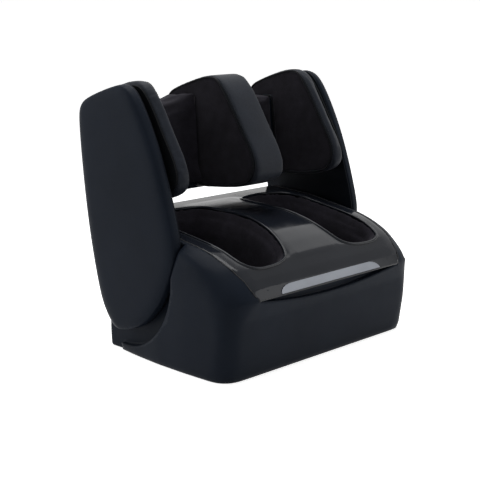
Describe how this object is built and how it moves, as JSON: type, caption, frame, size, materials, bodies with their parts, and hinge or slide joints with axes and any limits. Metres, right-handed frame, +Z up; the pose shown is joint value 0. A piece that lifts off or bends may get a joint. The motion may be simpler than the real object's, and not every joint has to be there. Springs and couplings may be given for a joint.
{
  "type": "foot and calf massager",
  "caption": "Home leg massager: base with fabric-lined foot wells under a glossy deck, and a tilting calf unit of upright padded cushions between tall rounded side covers.",
  "frame": {"origin": "centre of the overall box at floor level, under the feet", "axes": "+X across the machine to its right side seen from the toe side, +Y from the toe side towards the user's side, +Z up"},
  "size_m": [0.54, 0.4131, 0.5184],
  "materials": {
    "shell": "satin injection-moulded ABS, fine grain",
    "deck": "piano-black high-gloss ABS",
    "strip": "light grey silk-printed touch strip",
    "board": "green solder mask",
    "liner": "fine knitted polyester",
    "leather": "fine-grained synthetic leather",
    "bag": "welded TPU film",
    "steel": "bright drawn steel",
    "frame": "black powder coat",
    "zinc": "die-cast, as cast",
    "brass": "hobbed",
    "nylon": "natural nylon",
    "rubber": "matt black",
    "inner": "textured black ABS"
  },
  "bodies": {
    "base": {"base_tray": "inner", "lower_shell": "shell", "top_deck": "deck", "control_strip": "strip", "control_board": "board", "left_well_tub": "inner", "right_well_tub": "inner", "left_foot_liner": "liner", "right_foot_liner": "liner", "foot_airbags": "bag", "foot_motor": "steel", "foot_gearbox": "zinc", "roller_bearings": "zinc", "air_pump": "inner", "valve_block": "nylon", "air_hoses": "rubber", "power_supply": "steel", "main_board": "board", "rear_panel": "inner", "mains_inlet": "rubber", "switch_body": "rubber", "pivot_brackets": "steel", "rubber_feet": "rubber", "panel_screws": "steel"},
    "calf_unit": {"left_side_cover": "shell", "right_side_cover": "shell", "left_inner_cover": "inner", "right_inner_cover": "inner", "calf_frame": "frame", "pivot_pins": "steel", "hinge_pins": "steel", "housing_front": "inner", "housing_back": "shell", "centre_cushion": "leather", "centre_board": "inner", "centre_left_face": "liner", "centre_right_face": "liner", "centre_airbags": "bag", "calf_motor": "steel", "calf_gearbox": "zinc", "calf_brackets": "zinc"},
    "left_pad": {"left_pad_arm": "zinc", "left_pad_board": "inner", "left_cushion": "leather", "left_face": "liner"},
    "right_pad": {"right_pad_arm": "zinc", "right_pad_board": "inner", "right_cushion": "leather", "right_face": "liner"},
    "calf_shaft": {"calf_drive_shaft": "steel", "calf_worm_wheel": "nylon"},
    "calf_worm_shaft": {"calf_worm": "brass"},
    "front_roller_set": {"front_roller_shaft": "steel", "front_rollers": "nylon", "front_worm_wheel": "nylon"},
    "rear_roller_set": {"rear_roller_shaft": "steel", "rear_rollers": "nylon", "rear_worm_wheel": "nylon"},
    "foot_worm_shaft": {"foot_worms": "brass"},
    "rocker": {"switch_rocker": "deck"}
  },
  "joints": [
    {"name": "calf_tilt", "type": "hinge", "parent": "base", "child": "calf_unit", "pos_m": [0, 0.103, 0.165], "axis": [-1, 0, 0], "range_deg": [0, 30]},
    {"name": "left_pad_swing", "type": "hinge", "parent": "calf_unit", "child": "left_pad", "pos_m": [-0.233, 0.15612, 0.3757], "axis": [0, 0.1045, 0.9945], "range_deg": [-2, 2.5]},
    {"name": "right_pad_swing", "type": "hinge", "parent": "calf_unit", "child": "right_pad", "pos_m": [0.233, 0.15612, 0.3757], "axis": [0, 0.1045, 0.9945], "range_deg": [-2.5, 2]},
    {"name": "calf_shaft_spin", "type": "hinge", "parent": "calf_unit", "child": "calf_shaft", "pos_m": [0, 0.15612, 0.3757], "axis": [1, 0, 0], "continuous": true},
    {"name": "calf_worm_spin", "type": "hinge", "parent": "calf_unit", "child": "calf_worm_shaft", "pos_m": [0, 0.17561, 0.37365], "axis": [0, 0.1045, 0.9945], "continuous": true},
    {"name": "front_roller_spin", "type": "hinge", "parent": "base", "child": "front_roller_set", "pos_m": [0, -0.09504, 0.07], "axis": [1, 0, 0], "continuous": true},
    {"name": "rear_roller_spin", "type": "hinge", "parent": "base", "child": "rear_roller_set", "pos_m": [0, 0.01568, 0.07], "axis": [1, 0, 0], "continuous": true},
    {"name": "foot_worm_spin", "type": "hinge", "parent": "base", "child": "foot_worm_shaft", "pos_m": [0, -0.03968, 0.0504], "axis": [0, 1, 0], "continuous": true},
    {"name": "rocker_tilt", "type": "hinge", "parent": "base", "child": "rocker", "pos_m": [0.052, 0.157, 0.062], "axis": [1, 0, 0], "range_deg": [-16, 0]}
  ],
  "couplings": [
    {"joint": "right_pad_swing", "follows": "left_pad_swing", "ratio": -1},
    {"joint": "calf_worm_spin", "follows": "calf_shaft_spin", "ratio": 24},
    {"joint": "rear_roller_spin", "follows": "front_roller_spin", "ratio": 1},
    {"joint": "foot_worm_spin", "follows": "front_roller_spin", "ratio": 24}
  ]
}
